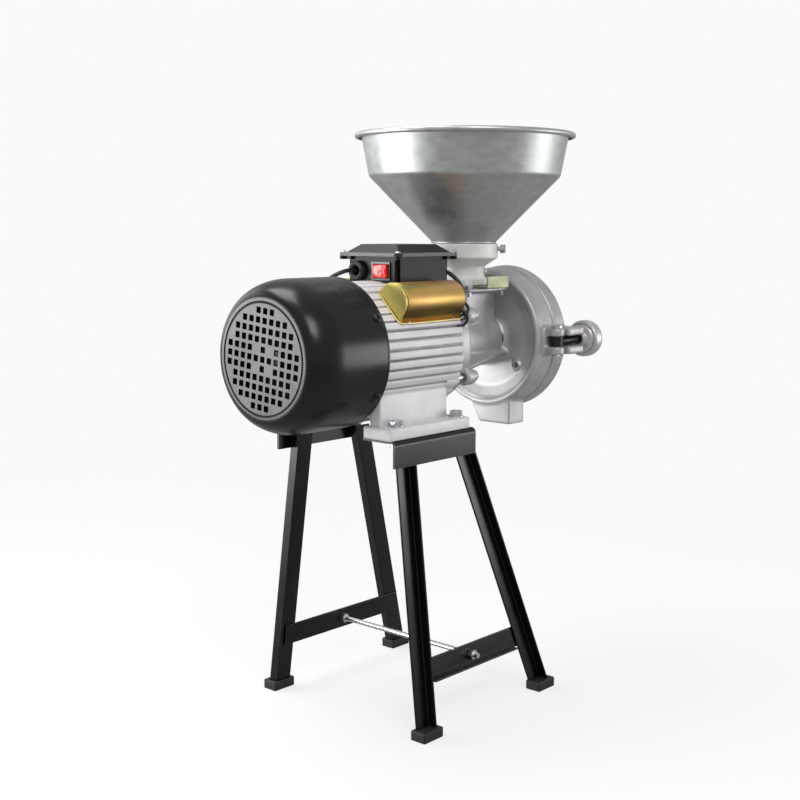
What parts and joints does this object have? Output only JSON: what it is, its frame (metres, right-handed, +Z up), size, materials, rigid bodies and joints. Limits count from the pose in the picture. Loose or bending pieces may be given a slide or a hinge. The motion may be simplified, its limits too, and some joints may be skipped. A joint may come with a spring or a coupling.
{
  "type": "electric grain mill",
  "caption": "Electric grain mill: a finned capacitor motor on a black four-legged stand drives a cast grinding head with swing clamps, fed by a gated neck and a sheet-metal hopper.",
  "frame": {"origin": "middle of the box's bottom face, on the floor", "axes": "+X along the motor shaft from the fan cover to the grinding head, +Y across the stand away from the side with the visible knob, +Z up"},
  "size_m": [0.46, 0.262, 0.6572],
  "materials": {
    "black_paint": "gloss",
    "black_rubber": "matte",
    "cast_aluminium": "satin",
    "light_casting": "satin",
    "galvanised_sheet": "satin",
    "plated_steel": "satin",
    "yellow_zinc": "gloss",
    "olive_zinc": "satin",
    "black_plastic": "gloss",
    "red_plastic": "gloss",
    "blue_sleeve": "matte",
    "electrical_steel": "matte",
    "copper": "gloss",
    "cast_iron": "matte",
    "cable": "satin"
  },
  "bodies": {
    "frame": {"stand_bracket_near": "black_paint", "stand_bracket_far": "black_paint", "leg_near_rear": "black_paint", "leg_near_front": "black_paint", "leg_far_rear": "black_paint", "leg_far_front": "black_paint", "crossbar_near": "black_paint", "crossbar_far": "black_paint", "tie_rod": "plated_steel", "tie_rod_nuts": "plated_steel", "foot_near_rear": "black_rubber", "foot_near_front": "black_rubber", "foot_far_rear": "black_rubber", "foot_far_front": "black_rubber", "motor_housing": "cast_aluminium", "foot_bolts": "plated_steel", "stator_core": "electrical_steel", "stator_windings": "copper", "end_shield_rear": "cast_aluminium", "end_shield_front": "cast_aluminium", "bearing_rear": "plated_steel", "bearing_front": "plated_steel", "fan_cover": "black_paint", "fan_cover_screws": "black_paint", "switch_box": "black_plastic", "switch_box_lid": "black_plastic", "lid_screws": "plated_steel", "rocker_frame": "black_plastic", "lead_grommet": "black_rubber", "mains_gland": "black_plastic", "capacitor_near": "blue_sleeve", "capacitor_far": "blue_sleeve", "capacitor_cover_near": "yellow_zinc", "capacitor_cover_far": "yellow_zinc", "capacitor_leads_near": "cable", "capacitor_leads_far": "cable", "mill_body": "cast_aluminium", "mill_bolts": "plated_steel", "shaft_seal": "black_rubber", "fixed_disc": "cast_iron", "front_cover": "cast_aluminium", "swing_pins": "plated_steel", "lock_nut": "plated_steel", "feed_box": "light_casting", "neck_screw": "plated_steel", "throat_bolts": "plated_steel", "hopper": "galvanised_sheet"},
    "rotor": {"motor_shaft": "plated_steel", "rotor_core": "electrical_steel", "cooling_fan": "black_plastic", "feed_screw": "cast_iron", "running_disc": "cast_iron"},
    "gate": {"feed_gate": "olive_zinc"},
    "rocker_body": {"rocker": "red_plastic"},
    "swing_near": {"swing_bolt_near": "plated_steel"},
    "swing_far": {"swing_bolt_far": "plated_steel"},
    "knob_near": {"closing_knob_near": "cast_aluminium"},
    "knob_far": {"closing_knob_far": "cast_aluminium"},
    "handwheel": {"fineness_handwheel": "cast_aluminium"},
    "hopper_thumbscrew": {"hopper_screw": "plated_steel"}
  },
  "joints": [
    {"name": "rotor_spin", "type": "hinge", "parent": "frame", "child": "rotor", "pos_m": [-0.132, 0, 0.412], "axis": [1, 0, 0], "continuous": true},
    {"name": "gate_slide", "type": "slide", "parent": "frame", "child": "gate", "axis": [0, -1, 0], "range_m": [0, 0.045]},
    {"name": "rocker_tilt", "type": "hinge", "parent": "frame", "child": "rocker_body", "pos_m": [-0.0645, -0.013, 0.49875], "axis": [0, 0, -1], "range_deg": [0, 14]},
    {"name": "swing_bolt_near_turn", "type": "hinge", "parent": "frame", "child": "swing_near", "pos_m": [0.157, -0.095, 0.412], "axis": [0, 0, -1], "range_deg": [0, 105]},
    {"name": "swing_bolt_far_turn", "type": "hinge", "parent": "frame", "child": "swing_far", "pos_m": [0.157, 0.095, 0.412], "axis": [0, 0, 1], "range_deg": [0, 105]},
    {"name": "closing_knob_near_spin", "type": "hinge", "parent": "swing_near", "child": "knob_near", "pos_m": [0.214, -0.095, 0.412], "axis": [1, 0, 0], "continuous": true},
    {"name": "closing_knob_far_spin", "type": "hinge", "parent": "swing_far", "child": "knob_far", "pos_m": [0.214, 0.095, 0.412], "axis": [1, 0, 0], "continuous": true},
    {"name": "fineness_handwheel_spin", "type": "hinge", "parent": "frame", "child": "handwheel", "pos_m": [0.224, 0, 0.412], "axis": [1, 0, 0], "continuous": true},
    {"name": "hopper_screw_spin", "type": "hinge", "parent": "frame", "child": "hopper_thumbscrew", "pos_m": [0.096, 0, 0.5217], "axis": [0.5446, -0.8387, 0], "continuous": true}
  ]
}
